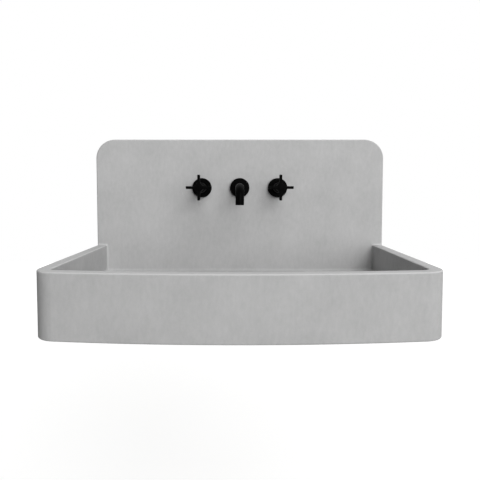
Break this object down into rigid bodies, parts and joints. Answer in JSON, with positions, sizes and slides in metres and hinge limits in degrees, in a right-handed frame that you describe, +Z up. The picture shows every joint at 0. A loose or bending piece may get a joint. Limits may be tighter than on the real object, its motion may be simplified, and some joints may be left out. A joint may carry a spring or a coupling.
{
  "type": "concrete sink",
  "caption": "Wall-hung concrete sink with a bow-fronted shallow bowl, tall splashback, black cross-handle wall taps, fixed spout and push-plug waste.",
  "frame": {"origin": "on the wall plane, in the middle of the width, at the height of the bowl's rim", "axes": "+X to the right seen from the front, +Y towards the wall, +Z up"},
  "size_m": [0.76, 0.5119, 0.477],
  "materials": {
    "cast_concrete": "matte",
    "bracket_steel": "satin",
    "zinc_steel": "satin",
    "pad_rubber": "matte",
    "black_metal": "satin",
    "raw_brass": "satin",
    "disc_ceramic": "polished",
    "pipe_copper": "satin",
    "jet_plastic": "matte"
  },
  "bodies": {
    "sink": {"concrete_basin": "cast_concrete", "wall_bracket_left": "bracket_steel", "bracket_pad_left": "pad_rubber", "wall_bracket_right": "bracket_steel", "bracket_pad_right": "pad_rubber", "bracket_bolts": "zinc_steel", "bracket_washers": "zinc_steel", "threaded_inserts": "raw_brass", "hot_valve_body": "raw_brass", "hot_cartridge_housing": "raw_brass", "hot_disc_seal": "pad_rubber", "hot_fixed_disc": "disc_ceramic", "hot_rear_washer": "pad_rubber", "hot_front_washer": "pad_rubber", "hot_locknut": "raw_brass", "hot_rosette": "black_metal", "hot_cover_sleeve": "black_metal", "cold_valve_body": "raw_brass", "cold_cartridge_housing": "raw_brass", "cold_disc_seal": "pad_rubber", "cold_fixed_disc": "disc_ceramic", "cold_rear_washer": "pad_rubber", "cold_front_washer": "pad_rubber", "cold_locknut": "raw_brass", "cold_rosette": "black_metal", "cold_cover_sleeve": "black_metal", "spout_tee": "raw_brass", "spout_rear_washer": "pad_rubber", "spout_front_washer": "pad_rubber", "spout_locknut": "raw_brass", "spout_rosette": "black_metal", "spout_tube": "black_metal", "aerator_housing": "black_metal", "aerator_insert": "jet_plastic", "hot_transfer_pipe": "pipe_copper", "cold_transfer_pipe": "pipe_copper", "compression_nuts": "raw_brass", "waste_body": "black_metal", "waste_tailpiece": "black_metal", "waste_top_seal": "pad_rubber", "waste_lower_seal": "pad_rubber", "waste_back_nut": "raw_brass", "click_cartridge": "raw_brass"},
    "hot_handle": {"hot_moving_disc": "disc_ceramic", "hot_spindle": "raw_brass", "hot_handle_hub": "black_metal", "hot_cross_arms": "black_metal", "hot_handle_screw": "zinc_steel", "hot_index_cap": "black_metal"},
    "cold_handle": {"cold_moving_disc": "disc_ceramic", "cold_spindle": "raw_brass", "cold_handle_hub": "black_metal", "cold_cross_arms": "black_metal", "cold_handle_screw": "zinc_steel", "cold_index_cap": "black_metal"},
    "plug": {"plug_cap": "black_metal", "plug_seal": "pad_rubber", "plug_stem": "raw_brass"}
  },
  "joints": [
    {"name": "hot_turn", "type": "hinge", "parent": "sink", "child": "hot_handle", "pos_m": [-0.1, -0.125, 0.1527], "axis": [0, -1, 0], "range_deg": [0, 90]},
    {"name": "cold_turn", "type": "hinge", "parent": "sink", "child": "cold_handle", "pos_m": [0.1, -0.125, 0.1527], "axis": [0, 1, 0], "range_deg": [0, 90]},
    {"name": "plug_lift", "type": "slide", "parent": "sink", "child": "plug", "axis": [0, 0, 1], "range_m": [0, 0.008]}
  ]
}
